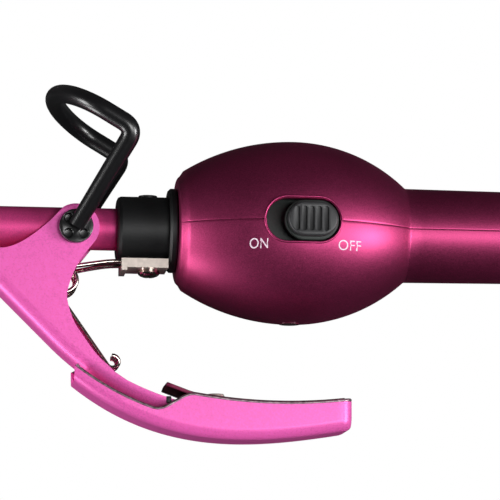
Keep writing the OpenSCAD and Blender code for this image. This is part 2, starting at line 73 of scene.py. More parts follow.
# Casing
EGG_FRONT = -21.6
CROWN_X = -46.5
EGG_REAR = -70.8
TAIL_X = -174.0
EGG_R = 19.6
HANDLE_R = 10.1
TAIL_R = 9.2
WALL = 2.0
FRONT_ARC = 44.0
REAR_ARC = ((EGG_R - HANDLE_R) ** 2 + (CROWN_X - EGG_REAR) ** 2) / (2 * (EGG_R - HANDLE_R))
FRONT_ROUND = 1.4
NECK_R = 6.05
TAIL_BORE = 8.0
TAIL_BORE_END = -170.0
SEAM = 0.03
LENS_X = CROWN_X + 0.4
LENS_R = 2.2
SEAM_ROUND = 0.06

# Slide switch
SLOT_X = -46.7
SLOT_LENGTH = 15.6
SLOT_HEIGHT = 9.1
KNOB_X = SLOT_X - 1.8
KNOB_SIZE = (10.4, 7.2)
BASE_SIZE = (11.4, 8.5)
GROOVE_PITCH = 1.52
GROOVE_LENGTH = 5.2
SHIELD_R = 15.4
SHIELD_HALF = (9.8, 5.5)
SHIELD_SHEET = 0.8
KNOB_FACE = -EGG_R - 1.2
LIP_R = 0.27

# Printed words
LETTER_SIZE = 3.0
LETTER_DEPTH = 0.08
ON_PLACE = (-37.45, 5.2)
OFF_PLACE = (-56.6, 5.2)

# Clamp
PIVOT_Z = 0.5
KNEE = (4.85, 25.0)
SPINE_ANGLE = math.radians(135.5)
SPINE_R = 58.5
BRACKET_HALF = 6.0
SHEET = 0.9
BEND_R = 2.8
EAR_R = 5.0
NOSE_R = 10.0
TONGUE_Z = 6.12
NOSE_TIP_X = 40.0
TAIL_S = 40.0
TRAY_END = 58.8
TRAY_HALF = 7.5
TRAY_SHEET = 1.0
LINER_START = 19.6
LINER_SHEET = 0.75
SCREW_U = 30.4

# Stand
CORNER = Vector((-11.48, 17.0, -18.75))
LOOP_DIR = Vector((0.861, 0.0, -0.509))
FOOT = Vector((0.0, 8.3, PIVOT_Z))
ROD_R = 2.0
HUB_R = 3.6
HUB_IN = 6.15
HUB_OUT = 7.7
POCKET_AT = 2.3
POCKET_R = 0.95
POCKET_DEPTH = 0.7

# Spring
WIRE_R = 0.5
COIL_X = 2.2
COIL_Z = 11.5
COIL_R = 2.6
COIL_Y = 1.8
ARM_ANGLE = math.radians(125.3)
ARM_LENGTH = 20.0


# ------------------------------------------------------------------ shader groups


def socket(tree, name, kind, out=False, default=None):
    """Adds a named input or output to a shader group."""
    made = tree.interface.new_socket(name=name, in_out="OUTPUT" if out else "INPUT", socket_type=kind)
    if default is not None:
        made.default_value = default
    return made


def speckle_group():
    """Fine sparkle of a metallic or pearly paint: a tint of the colour, a roughness and a height."""
    tree = bpy.data.node_groups.new("paint_speckle", "ShaderNodeTree")
    socket(tree, "Color", "NodeSocketColor", default=(0.5, 0.5, 0.5, 1))
    socket(tree, "Scale", "NodeSocketFloat", default=4000)
    socket(tree, "Tint", "NodeSocketFloat", default=0.2)
    socket(tree, "Roughness", "NodeSocketFloat", default=0.4)
    socket(tree, "Color", "NodeSocketColor", out=True)
    socket(tree, "Roughness", "NodeSocketFloat", out=True)
    socket(tree, "Height", "NodeSocketFloat", out=True)
    nodes = tree.nodes
    links = tree.links
    enter = nodes.new("NodeGroupInput")
    leave = nodes.new("NodeGroupOutput")
    where = nodes.new("ShaderNodeTexCoord")
    fine = nodes.new("ShaderNodeTexNoise")
    fine.inputs["Detail"].default_value = 2
    links.new(where.outputs["Object"], fine.inputs["Vector"])
    links.new(enter.outputs["Scale"], fine.inputs["Scale"])
    cloud = nodes.new("ShaderNodeTexNoise")
    cloud.inputs["Scale"].default_value = 60
    cloud.inputs["Detail"].default_value = 3
    links.new(where.outputs["Object"], cloud.inputs["Vector"])
    both = nodes.new("ShaderNodeMath")
    both.operation = "MULTIPLY_ADD"
    links.new(cloud.outputs["Fac"], both.inputs[0])
    both.inputs[1].default_value = 0.35
    links.new(fine.outputs["Fac"], both.inputs[2])
    level = nodes.new("ShaderNodeMapRange")
    level.inputs["From Min"].default_value = 0.4
    level.inputs["From Max"].default_value = 0.95
    level.inputs["To Min"].default_value = -1
    level.inputs["To Max"].default_value = 1
    links.new(both.outputs[0], level.inputs["Value"])
    gain = nodes.new("ShaderNodeMath")
    gain.operation = "MULTIPLY_ADD"
    links.new(level.outputs[0], gain.inputs[0])
    links.new(enter.outputs["Tint"], gain.inputs[1])
    gain.inputs[2].default_value = 1
    tint = nodes.new("ShaderNodeVectorMath")
    tint.operation = "SCALE"
    links.new(enter.outputs["Color"], tint.inputs[0])
    links.new(gain.outputs[0], tint.inputs["Scale"])
    links.new(tint.outputs[0], leave.inputs["Color"])
    rough = nodes.new("ShaderNodeMath")
    rough.operation = "MULTIPLY_ADD"
    links.new(level.outputs[0], rough.inputs[0])
    rough.inputs[1].default_value = 0.05
    links.new(enter.outputs["Roughness"], rough.inputs[2])
    links.new(rough.outputs[0], leave.inputs["Roughness"])
    links.new(fine.outputs["Fac"], leave.inputs["Height"])
    return tree


SPECKLE = speckle_group()


def finish(name, color, rough, metal=0.0, tint=0.15, scale=4000, bump=0.02, coat=0.0, coat_rough=0.1):
    """A speckled surface with its own colour, gloss, metal and coat."""
    mat = bpy.data.materials.new(name)
    mat.use_nodes = True
    nodes = mat.node_tree.nodes
    links = mat.node_tree.links
    shader = nodes["Principled BSDF"]
    speckle = nodes.new("ShaderNodeGroup")
    speckle.node_tree = SPECKLE
    speckle.inputs["Color"].default_value = (*color, 1)
    speckle.inputs["Scale"].default_value = scale
    speckle.inputs["Tint"].default_value = tint
    speckle.inputs["Roughness"].default_value = rough
    links.new(speckle.outputs["Color"], shader.inputs["Base Color"])
    links.new(speckle.outputs["Roughness"], shader.inputs["Roughness"])
    lift = nodes.new("ShaderNodeBump")
    lift.inputs["Strength"].default_value = bump
    lift.inputs["Distance"].default_value = 0.0002
    links.new(speckle.outputs["Height"], lift.inputs["Height"])
    links.new(lift.outputs["Normal"], shader.inputs["Normal"])
    shader.inputs["Metallic"].default_value = metal
    shader.inputs["Coat Weight"].default_value = coat
    shader.inputs["Coat Roughness"].default_value = coat_rough
    mat.diffuse_color = (*color, 1)
    return mat


MAGENTA_PAINT = finish(
    "magenta_paint", (0.42, 0.046, 0.15), 0.45, metal=0.95, tint=0.26, coat=0.04, coat_rough=0.3
)
BARREL_COAT = finish("barrel_coat", (0.82, 0.07, 0.30), 0.48, metal=0.5, tint=0.16)
CLAMP_COAT = finish("clamp_coat", (1.0, 0.14, 0.55), 0.4, metal=0.22, tint=0.16, scale=2600, bump=0.05)
# Grey metal for a thin line along the tray's rim: a painted highlight that stands in for the light on the
# rim's rounded edge.
PAINTED_RIM_HIGHLIGHT = finish("tray_rim", (0.34, 0.24, 0.28), 0.4, metal=0.8, tint=0.7, scale=1100)
# Darker copy of the lever's pink for the liner plate: painted shade, standing in for the shade the plate
# lies in under the lever.
LINER_PAINTED_SHADE = finish("liner_painted_shade", (0.22, 0.02, 0.07), 0.4, metal=0.5, tint=0.2)
BLACK_PLASTIC = finish("black_plastic", (0.006, 0.0065, 0.007), 0.5, tint=0.2, scale=2500, bump=0.1)
GLOSS_BLACK = finish("gloss_black", (0.005, 0.005, 0.006), 0.33, tint=0.1, coat=0.6, coat_rough=0.25)
SWITCH_GREY = finish("switch_grey", (0.035, 0.035, 0.037), 0.42, tint=0.2, scale=3000, bump=0.06)
SHIELD_GREY = finish("shield_grey", (0.03, 0.037, 0.034), 0.6, tint=0.2, scale=3000, bump=0.05)
NICKEL = finish("nickel", (0.62, 0.52, 0.47), 0.16, metal=1.0, tint=0.08, scale=1500)
CLIP_NICKEL = finish("clip_nickel", (0.80, 0.70, 0.63), 0.34, metal=0.55, tint=0.1, scale=1500)
STEEL = finish("steel", (0.5, 0.5, 0.5), 0.3, metal=1.0, tint=0.1, scale=1500)
BRASS = finish("brass_ring", (0.7, 0.5, 0.2), 0.25, metal=1.0, tint=0.1, scale=1500)
CERAMIC = finish("white_ceramic", (0.75, 0.74, 0.7), 0.5, tint=0.05, scale=1500)
MICA = finish("mica_sleeve", (0.62, 0.55, 0.4), 0.5, tint=0.15, scale=800)
LEAD = finish("lead_red", (0.4, 0.02, 0.02), 0.5, tint=0.1)
BOARD = finish("board_green", (0.02, 0.16, 0.06), 0.35, tint=0.25, scale=900)
NYLON = finish("white_nylon", (0.66, 0.66, 0.63), 0.45, tint=0.05)
LED_RED = finish("led_red", (0.6, 0.03, 0.02), 0.15, tint=0.05, coat=0.5)
LENS = finish("lens_smoke", (0.09, 0.01, 0.03), 0.12, tint=0.05, coat=0.6)
PRINT = finish("print_ink", (1.0, 0.80, 0.93), 0.5, tint=0.05)

SLOT_MATERIALS = {
    "magenta_paint": MAGENTA_PAINT,
    "barrel_coat": BARREL_COAT,
    "clamp_coat": CLAMP_COAT,
    "black_plastic": BLACK_PLASTIC,
    "gloss_black": GLOSS_BLACK,
    "switch_grey": SWITCH_GREY,
    "nickel": NICKEL,
    "steel": STEEL,
    "brass_ring": BRASS,
    "white_ceramic": CERAMIC,
    "mica_sleeve": MICA,
    "lead_red": LEAD,
    "board_green": BOARD,
    "white_nylon": NYLON,
    "led_red": LED_RED,
    "lens_smoke": LENS,
}


def paint_nodes():
    """Gives every CAD node the material of its slot."""
    for part in frame["record"]["subparts"]:
        node = frame["nodes"][part["node"]]
        node.data.materials.clear()
        node.data.materials.append(SLOT_MATERIALS[part["material_slot"]])
    frame["nodes"]["clip_plate"].data.materials[0] = CLIP_NICKEL


# ------------------------------------------------------------------ making pieces


def place(name, bm, material, body, replaced=(), angle=35):
    """Moves a shape made in millimetres on to the frame as a finished piece that rides on a body."""
    bm.transform(TO_FRAME)
    mesh = bpy.data.meshes.new(name)
    bm.to_mesh(mesh)
    bm.free()
    return settle(name, mesh, material, body, replaced, angle)


def settle(name, mesh, material, body, replaced=(), angle=35):
    """Makes the object of a mesh that is already in the frame."""
    piece = bpy.data.objects.new(name, mesh)
    bpy.context.scene.collection.objects.link(piece)
    mesh.materials.clear()
    mesh.materials.append(material)
    mesh.shade_smooth()
    mesh.set_sharp_from_angle(angle=math.radians(angle))
    if body:
        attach(piece, body)
    if replaced:
        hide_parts(*replaced)
    return piece


def cut(piece, *cutters):
    """Takes the cutters' shapes out of a piece for good, and removes the cutters."""
    for tool in cutters:
        step = piece.modifiers.new("cut", "BOOLEAN")
        step.operation = "DIFFERENCE"
        step.solver = "EXACT"
        step.object = tool
    bake(piece)
    for tool in cutters:
        bpy.data.objects.remove(tool)


def bake(piece):
    """Applies a piece's modifiers to its mesh."""
    bpy.context.view_layer.update()
    seen = piece.evaluated_get(bpy.context.evaluated_depsgraph_get())
    mesh = bpy.data.meshes.new_from_object(seen)
    piece.modifiers.clear()
    piece.data = mesh


def cutter(bm):
    """A loose object for cut(), from a shape made in millimetres."""
    bm.transform(TO_FRAME)
    mesh = bpy.data.meshes.new("cutter")
    bm.to_mesh(mesh)
    bm.free()
    made = bpy.data.objects.new("cutter", mesh)
    bpy.context.scene.collection.objects.link(made)
    return made


def thicken(piece, depth, edge=0.0, angle=50):
    """Gives a single sheet its thickness towards the inside, and rounds its cut edges."""
    wall = piece.modifiers.new("wall", "SOLIDIFY")
    wall.thickness = depth * MM
    wall.offset = -1
    wall.use_quality_normals = True
    if edge:
        round_edges(piece, edge, angle)
        even = piece.modifiers.new("even", "WEIGHTED_NORMAL")
        even.keep_sharp = True
        even.weight = 80
    bake(piece)


def round_edges(piece, radius, angle=50, segments=2):
    """Rounds the sharp edges of a piece."""
    step = piece.modifiers.new("round", "BEVEL")
    step.width = radius * MM
    step.segments = segments
    step.limit_method = "ANGLE"
    step.angle_limit = math.radians(angle)


def smooth_line(points, steps):
    """A smooth curve through the points, with steps pieces between neighbours."""
    points = [Vector(p) for p in points]
    out = []
    last = len(points) - 1
    for i in range(last):
        before = points[max(i - 1, 0)]
        start = points[i]
        end = points[i + 1]
        after = points[min(i + 2, last)]
        for k in range(steps):
            t = k / steps
            pull = (end - before) * t
            bow = (2 * before - 5 * start + 4 * end - after) * t * t
            turn = (3 * start - before - 3 * end + after) * t ** 3
            out.append(start + 0.5 * (pull + bow + turn))
    out.append(points[last])
    return out


def wire_mesh(paths, radii, name, sides=8):
    """Round wires along the paths, as one closed mesh in the frame."""
    curve = bpy.data.curves.new(name, "CURVE")
    curve.dimensions = "3D"
    curve.bevel_depth = 1
    curve.bevel_resolution = sides
    curve.use_fill_caps = True
    for path, radius in zip(paths, radii):
        line = curve.splines.new("POLY")
        line.points.add(len(path) - 1)
        for point, p, r in zip(line.points, path, radius):
            point.co = (*p, 1)
            point.radius = r
    holder = bpy.data.objects.new(name, curve)
    bpy.context.scene.collection.objects.link(holder)
    bpy.context.view_layer.update()
    mesh = bpy.data.meshes.new_from_object(holder.evaluated_get(bpy.context.evaluated_depsgraph_get()))
    bpy.data.objects.remove(holder)
    bm = bmesh.new()
    bm.from_mesh(mesh)
    bmesh.ops.remove_doubles(bm, verts=bm.verts, dist=0.001)
    bmesh.ops.recalc_face_normals(bm, faces=bm.faces)
    bm.transform(TO_FRAME)
    bm.to_mesh(mesh)
    bm.free()
    return mesh


def ring_verts(bm, points):
    """A closed ring of edges through the points."""
    verts = [bm.verts.new(p) for p in points]
    edges = [bm.edges.new((a, b)) for a, b in zip(verts, verts[1:] + verts[:1])]
    return verts, edges


def sweep_strip(bm, rows):
    """A sheet through rows of points: the first row's edges are extruded and moved to each next row."""
    verts = [bm.verts.new(p) for p in rows[0]]
    edges = [bm.edges.new((a, b)) for a, b in zip(verts, verts[1:])]
    table = [verts]
    for row in rows[1:]:
        made = bmesh.ops.extrude_edge_only(bm, edges=edges)["geom"]
        edges = [e for e in made if isinstance(e, bmesh.types.BMEdge) and len(e.link_faces) == 1]
        fresh = {v for e in edges for v in e.verts if v not in table[-1]}
        edges = [e for e in edges if e.verts[0] in fresh and e.verts[1] in fresh]
        ordered = []
        for vert in table[-1]:
            ordered.append(next(e.other_vert(vert) for e in vert.link_edges if e.other_vert(vert) in fresh))
        for vert, point in zip(ordered, row):
            vert.co = point
        table.append(ordered)
    return table


def stadium(x, length, height, y0, y1, sides=24):
    """Prism with two round ends, from y0 to y1, centred on station x."""
    bm = bmesh.new()
    r = height / 2
    half = (length - height) / 2
    points = []
    for end, first in ((half, -90), (-half, 90)):
        for k in range(sides + 1):
            a = math.radians(first + 180 * k / sides)
            points.append((x + end + r * math.cos(a), y0, r * math.sin(a)))
    verts, _ = ring_verts(bm, points)
    floor_face = bm.faces.new(verts)
    made = bmesh.ops.extrude_face_region(bm, geom=[floor_face])["geom"]
    top = [v for v in made if isinstance(v, bmesh.types.BMVert)]
    bmesh.ops.translate(bm, verts=top, vec=(0, y1 - y0, 0))
    bmesh.ops.recalc_face_normals(bm, faces=bm.faces)
    return bm


def drum(p, axis, r0, r1, depth, sides=48):
    """Cylinder or cone with its base at p and its height along axis."""
    bm = bmesh.new()
    turn = Vector(axis).to_track_quat("Z", "Y").to_matrix().to_4x4()
    middle = Matrix.Translation(Vector(p) + Vector(axis).normalized() * depth / 2)
    bmesh.ops.create_cone(
        bm, cap_ends=True, segments=sides, radius1=r0, radius2=r1, depth=depth, matrix=middle @ turn
    )
    return bm


# ------------------------------------------------------------------ casing


def casing_r(x):
    """Outside radius of the casing at a station."""
    if x > CROWN_X:
        return EGG_R - FRONT_ARC + math.sqrt(FRONT_ARC ** 2 - (x - CROWN_X) ** 2)
    if x > EGG_REAR:
        return EGG_R - REAR_ARC + math.sqrt(REAR_ARC ** 2 - (x - CROWN_X) ** 2)
    return HANDLE_R + (TAIL_R - HANDLE_R) * (x - EGG_REAR) / (TAIL_X - EGG_REAR)


def spread(x0, x1, n):
    """n + 1 stations from x0 to x1."""
    return [x0 + (x1 - x0) * i / n for i in range(n + 1)]


def casing_profile():
    """Closed outline of the casing's wall as (station, radius), outside first."""
    stations = spread(TAIL_X, EGG_REAR - 0.15, 40) + spread(EGG_REAR + 0.15, CROWN_X, 32)
    stations += spread(CROWN_X, EGG_FRONT - FRONT_ROUND, 28)[1:]
    outer = [(x, casing_r(x)) for x in stations]
    cx = EGG_FRONT - FRONT_ROUND
    cr = casing_r(EGG_FRONT) - FRONT_ROUND
    for k in range(1, 7):
        a = math.radians(70 - 70 * k / 6)
        outer.append((cx + FRONT_ROUND * math.cos(a), cr + FRONT_ROUND * math.sin(a)))
    outer.append((EGG_FRONT, NECK_R))
    inner = [(EGG_FRONT - WALL, NECK_R), (EGG_FRONT - WALL, casing_r(EGG_FRONT) - WALL - 0.6)]
    inner += [(x, casing_r(x) - WALL) for x in spread(EGG_FRONT - FRONT_ROUND - WALL, EGG_REAR, 24)]
    inner += [(TAIL_BORE_END, casing_r(TAIL_BORE_END) - WALL), (TAIL_BORE_END, TAIL_BORE)]
    return outer + inner + [(TAIL_X, TAIL_BORE)]


def casing_half(name, side, node):
    """One moulded half, spun through half a turn, with a rounded edge along the seam."""
    bm = bmesh.new()
    verts, edges = ring_verts(bm, [(x, r, 0) for x, r in casing_profile()])
    made = bmesh.ops.spin(
        bm, geom=verts + edges, cent=(0, 0, 0), axis=(side, 0, 0), angle=math.pi, steps=112
    )
    end = [e for e in made["geom_last"] if isinstance(e, bmesh.types.BMEdge)]
    bmesh.ops.contextual_create(bm, geom=edges)
    bmesh.ops.contextual_create(bm, geom=end)
    bmesh.ops.recalc_face_normals(bm, faces=bm.faces)
    seam = [e for e in bm.edges if on_seam(e)]
    bmesh.ops.bevel(bm, geom=seam, offset=SEAM_ROUND, segments=2, profile=0.5, affect="EDGES", material=-1)
    bmesh.ops.translate(bm, verts=bm.verts, vec=(0, 0, side * SEAM))
    half = place(name, bm, MAGENTA_PAINT, "iron", [node], angle=30)
    tools = [cutter(stadium(SLOT_X, SLOT_LENGTH, SLOT_HEIGHT, -EGG_R - 3, -EGG_R + 6))]
    if side > 0:
        tools.append(cutter(drum((LENS_X, 0, EGG_R - 5), (0, 0, 1), LENS_R, LENS_R, 8)))
    cut(half, *tools)
    half.data.set_sharp_from_angle(angle=math.radians(30))
    return half


def on_seam(edge):
    """Whether an edge is one of the outside ones that run along the seam."""
    flat = all(abs(v.co.z) < 1e-4 for v in edge.verts)
    out = all(abs(v.co.y) > casing_r(min(v.co.x, EGG_FRONT - FRONT_ROUND)) - 1.0 for v in edge.verts)
    long = edge.verts[0].co.x != edge.verts[1].co.x
    return flat and out and long and all(v.co.x < EGG_FRONT - 0.2 for v in edge.verts)


def slot_lip(name, side, grow):
    """Raised lip along one half of the switch's slot."""
    r = SLOT_HEIGHT / 2 + grow
    half = (SLOT_LENGTH - SLOT_HEIGHT) / 2
    flat = []
    for k in range(13):
        a = math.radians(90 * k / 12)
        flat.append((-half - r * math.cos(a), r * math.sin(a)))
    flat += [(x, r) for x in spread(-half, half, 8)[1:-1]]
    for k in range(13):
        a = math.radians(90 - 90 * k / 12)
        flat.append((half + r * math.cos(a), r * math.sin(a)))
    path = []
    for x, z in flat:
        z = side * max(z, SEAM)
        y = -math.sqrt((casing_r(SLOT_X + x) + 0.02) ** 2 - z * z)
        path.append((SLOT_X + x, y, z))
    mesh = wire_mesh([path], [[LIP_R] * len(path)], name, 5)
    return settle(name, mesh, MAGENTA_PAINT, "iron")


def lettering(name, words, spot, squeeze):
    """Printed word on the egg, which reads from the switch's side with the lever downwards."""
    text = bpy.data.curves.new(name, "FONT")
    text.body = words
    text.size = LETTER_SIZE
    text.align_x = "CENTER"
    text.align_y = "CENTER"
    text.space_character = 1.02
    text.offset = -0.004
    text.resolution_u = 6
    holder = bpy.data.objects.new(name, text)
    bpy.context.scene.collection.objects.link(holder)
    bpy.context.view_layer.update()
    mesh = bpy.data.meshes.new_from_object(holder.evaluated_get(bpy.context.evaluated_depsgraph_get()))
    bpy.data.objects.remove(holder)
    bm = bmesh.new()
    bm.from_mesh(mesh)
    bmesh.ops.remove_doubles(bm, verts=bm.verts, dist=0.0005)
    made = bmesh.ops.extrude_face_region(bm, geom=list(bm.faces))["geom"]
    top = [v for v in made if isinstance(v, bmesh.types.BMVert)]
    bmesh.ops.translate(bm, verts=top, vec=(0, 0, LETTER_DEPTH))
    for vert in bm.verts:
        px = spot[0] - vert.co.x * squeeze
        pz = spot[1] - vert.co.y
        reach = math.sqrt(casing_r(px) ** 2 - pz * pz) - 0.05 + vert.co.z
        vert.co = (px, -reach, pz)
    bmesh.ops.recalc_face_normals(bm, faces=bm.faces)
    return place(name, bm, PRINT, "iron")


# ------------------------------------------------------------------ slide switch


def switch_knob():
    """Stadium knob with five finger grooves, its skirt, and the curved shield behind the slot."""
    body = stadium(KNOB_X, *KNOB_SIZE, KNOB_FACE, -EGG_R + 1)
    knob = place("knob_top", body, SWITCH_GREY, "switch")
    round_edges(knob, 0.45, 60, 4)
    bake(knob)
    grooves = []
    upright = Matrix.Rotation(math.pi / 2, 3, "Y")
    for k in range(-2, 3):
        x = KNOB_X + 0.3 + k * GROOVE_PITCH
        tool = stadium(0, GROOVE_LENGTH, 1.05, KNOB_FACE - 1, KNOB_FACE + 0.5, 10)
        bmesh.ops.rotate(tool, verts=tool.verts, cent=(0, 0, 0), matrix=upright)
        bmesh.ops.translate(tool, verts=tool.verts, vec=(x, 0, 0))
        grooves.append(cutter(tool))
    cut(knob, *grooves)
    round_edges(knob, 0.17, 50, 2)
    bake(knob)
    knob.data.set_sharp_from_angle(angle=math.radians(40))
    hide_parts("switch_knob")
    base = stadium(KNOB_X, *BASE_SIZE, -EGG_R + 0.9, -EGG_R + 3.4)
    skirt = place("knob_skirt", base, SHIELD_GREY, "switch")
    round_edges(skirt, 0.35, 60, 3)
    bake(skirt)
    skirt.data.set_sharp_from_angle(angle=math.radians(40))
    shield()


def shield():
    """Thin curved plate that slides behind the slot."""
    rows = []
    reach = math.asin(SHIELD_HALF[1] / SHIELD_R)
    for x in spread(KNOB_X - SHIELD_HALF[0], KNOB_X + SHIELD_HALF[0], 8):
        angles = spread(-reach, reach, 16)
        rows.append([(x, -SHIELD_R * math.cos(a), SHIELD_R * math.sin(a)) for a in angles])
    bm = bmesh.new()
    sweep_strip(bm, rows)
    outwards(bm, Vector((0, -1, 0)))
    plate = place("knob_shield", bm, SHIELD_GREY, "switch")
    thicken(plate, SHIELD_SHEET, 0.1)


def outwards(bm, side):
    """Turns a single sheet so that its faces look to the given side on the whole."""
    bmesh.ops.recalc_face_normals(bm, faces=bm.faces)
    bm.normal_update()
    total = sum((f.normal * f.calc_area() for f in bm.faces), Vector())
    if total.dot(side) < 0:
        bmesh.ops.reverse_faces(bm, faces=bm.faces)


# ------------------------------------------------------------------ clamp


NOSE_DROP = TONGUE_Z + NOSE_R * (1 - math.sin(SPINE_ANGLE - math.pi / 2)) - KNEE[1]
NOSE_S = NOSE_DROP / math.sin(SPINE_ANGLE)


def spine(s, depth=0.0):
    """Point (x, z) of the bracket's spine at length s from the knee, moved inwards by depth."""
    a = SPINE_ANGLE - math.pi / 2
    out = Vector((math.cos(a), math.sin(a)))
    if s < 0:
        along = Vector((math.cos(SPINE_ANGLE), math.sin(SPINE_ANGLE)))
        return Vector(KNEE) + s * along - depth * out
    c = Vector(KNEE) - SPINE_R * out
    b = a + s / SPINE_R
    return c + (SPINE_R - depth) * Vector((math.cos(b), math.sin(b)))


def channel(half, bend, depth, steps=7):
    """Half section of a pressed channel as (y, depth) pairs, from the middle to the wall's edge."""
    pairs = [(0.0, 0.0), ((half - bend) / 2, 0.0)]
    for k in range(steps + 1):
        a = math.radians(90 * k / steps)
        pairs.append((half - bend + bend * math.sin(a), bend - bend * math.cos(a)))
    pairs.append((half, depth))
    return pairs


def both_sides(pairs):
    """The whole section, from the -y wall's edge to the +y wall's edge."""
    return [(-y, d) for y, d in reversed(pairs[1:])] + pairs


def spine_row(s):
    """Section of the bracket across its spine."""
    depth = 3 + 2.2 * max(0, 1 - (s - NOSE_S) / 6)
    row = []
    for y, d in both_sides(channel(BRACKET_HALF, BEND_R, depth)):
        p = spine(s, d)
        row.append((p.x, y, p.y))
    return row


def nose_row(t):
    """Section where the spine curves down on to the spoon (t up to 1) and runs along it (t up to 2)."""
    a0 = SPINE_ANGLE - math.pi / 2
    start = spine(NOSE_S)
    c = start + NOSE_R * Vector((math.cos(a0), math.sin(a0)))
    if t < 1:
        a = a0 - math.pi + t * (math.pi / 2 - a0)
        p = c + NOSE_R * Vector((math.cos(a), math.sin(a)))
        out = Vector((-math.cos(a), -math.sin(a)))
    else:
        p = Vector((c.x + (t - 1) * (NOSE_TIP_X - c.x), c.y - NOSE_R))
        out = Vector((0, 1))
    ease = min(1, t)
    half = BRACKET_HALF - 2.2 * ease
    if t > 1.9:
        half *= math.sqrt(max(0.05, 1 - ((t - 1.9) / 0.1) ** 2)) * 0.5 + 0.5
    depth = 5.2 - 3.5 * min(1, t * 1.1)
    row = []
    for y, d in both_sides(channel(half, min(BEND_R, depth - 0.1), depth)):
        q = p - d * out
        row.append((q.x, y, q.y))
    return row


def wall_edge():
    """Outline of the bracket's flat wall, from below the tail round the ear to the nose, as (x, z)."""
    tail_side = [(-8.6, 31.15), (-7.3, 29.9), (-4.7, 27.5), (-2.1, 24), (0, 20.9), (1.2, 17.8), (1.7, 15.2),
                 (1.3, 12.9), (0.3, 10), (-1.1, 7.3), (-2.9, 4.9)]
    turns = [math.radians(a) for a in range(146, 303, 6)]
    ear = [(EAR_R * math.cos(a), PIVOT_Z + EAR_R * math.sin(a)) for a in turns]
    nose_side = [(5.5, -0.7), (7.9, 1.4), (10.3, 3.2), (12.7, 4.55), (14.9, 5.25)]
    line = smooth_line([(x, z, 0) for x, z in tail_side], 3)
    line = [(p.x, p.y) for p in line][:-1] + ear
    line += [(p.x, p.y) for p in smooth_line([(x, z, 0) for x, z in [ear[-1]] + nose_side], 3)][1:]
    return line


def clamp_bracket():
    """Pressed bracket: nose, spine and two flat walls with ears, all from one sheet."""
    stations = spread(NOSE_S, 18, 26) + spread(18, TAIL_S, 16)[1:]
    rows = [nose_row(2 - 0.05 * i) for i in range(40)] + [spine_row(s) for s in stations]
    bm = bmesh.new()
    table = sweep_strip(bm, rows)
    for end in (0, -1):
        rim = [row[end] for row in table[40:67]]
        y = rim[0].co.y
        edge = [bm.verts.new((x, y, z)) for x, z in wall_edge()]
        bm.faces.new(rim + edge)
    bm.normal_update()
    bmesh.ops.triangulate(bm, faces=[f for f in bm.faces if len(f.verts) > 4])
    outwards(bm, Vector((1, 0, 1)))
    piece = place("bracket", bm, CLAMP_COAT, "clamp", ["clamp_bracket"], angle=32)
    thicken(piece, SHEET, 0.26, 60)
    return piece


def tray_top(u):
    """Height of the thumb tray's back, u being the distance from the pivot towards the tail."""
    return 33.2 + 0.77 * u - 0.0152 * u * u + 0.000082 * u ** 3


def tray_rim(u):
    """Height of the tray's rim: shallow over the bracket, then an S-step down to the deep end."""
    shallow = tray_top(u) - 3.2
    deep = 37.5 - 0.0045 * (u - 44) ** 2
    t = min(1, max(0, (u - 16.5) / 9))
    s = t * t * (3 - 2 * t)
    return shallow * (1 - s) + deep * s


def tray_half(u):
    """Half of the tray's width."""
    width = TRAY_HALF * min(1, 0.94 + u * 0.006)
    left = TRAY_END - u
    if left < 2.6:
        width -= 2.6 - math.sqrt(max(0, 2.6 ** 2 - (2.6 - left) ** 2))
    return width


def tray_row(u):
    """Section across the tray."""
    drop = 0.0
    left = TRAY_END - u
    if left < 1.6:
        drop = 0.8 - 0.8 * math.sqrt(max(0, 1 - (1 - left / 1.6) ** 2))
    top = tray_top(u) - drop
    pairs = both_sides(channel(tray_half(u), 2.4, top - tray_rim(u)))
    return [(-u, y, top - d) for y, d in pairs]


def thumb_tray():
    """Pressed tray of the thumb lever, closed at its far end."""
    stations = spread(0, TRAY_END - 2.6, 58) + [TRAY_END - 2.6 * (1 - math.sin(math.radians(a)))
                                                for a in range(15, 91, 15)]
    bm = bmesh.new()
    table = sweep_strip(bm, [tray_row(u) for u in stations])
    bm.faces.new(table[-1])
    outwards(bm, Vector((0, 0, 1)))
    tray = place("thumb_tray_shell", bm, CLAMP_COAT, "clamp", ["thumb_tray"], angle=40)
    thicken(tray, TRAY_SHEET, 0.14, 60)
    # Painted highlight: a grey metal line along the rim.
    rim_highlight_line(stations)
    return tray


def rim_highlight_line(stations):
    """Painted highlight along the tray's rim: a thin grey metal line down one side, round the end and up
    the other.
    """
    side = [(-max(0.5, min(u, TRAY_END - 0.5)), tray_half(u) - 0.36, tray_rim(u) - 0.22) for u in stations]
    path = side + [(x, -y, z) for x, y, z in reversed(side)]
    mesh = wire_mesh([path], [[0.4] * len(path)], "painted_rim_highlight", 4)
    settle("painted_rim_highlight", mesh, PAINTED_RIM_HIGHLIGHT, "clamp")


def liner_row(u):
    """Section across the plate that closes the tray, with its edges turned a little towards the tray."""
    z = tray_rim(max(u, 25)) - 0.37 * max(0, 25 - u) - 1.0
    half = min(tray_half(u) - 0.7, TRAY_HALF - 0.7)
    return [(-u, y * half, z + 0.3 * abs(y) ** 6) for y in spread(-1, 1, 14)]


def liner():
    """Thin plate over the tray, its raised end, the rib under that end, and the screw that holds it."""
    bm = bmesh.new()
    sweep_strip(bm, [liner_row(u) for u in spread(LINER_START, TRAY_END - 1.6, 40)])
    outwards(bm, Vector((0, 0, -1)))
    # The liner plate takes the darker pink: painted shade.
    plate = place("liner_plate", bm, LINER_PAINTED_SHADE, "clamp", ["thumb_liner"])
    thicken(plate, LINER_SHEET, 0.12, 50)
    rib("liner_end", LINER_START - 0.25, 1.1, 36.05, 1.5, 12.2)
    rib("liner_rib", LINER_START + 2.0, 1.3, 36.4, 3.2, 9)
    post = drum((-SCREW_U, 0, tray_rim(SCREW_U) - 0.3), (0, 0, 1), 2.4, 2.4, 1.9, 32)
    place("liner_post", post, BLACK_PLASTIC, "clamp")
    screw()


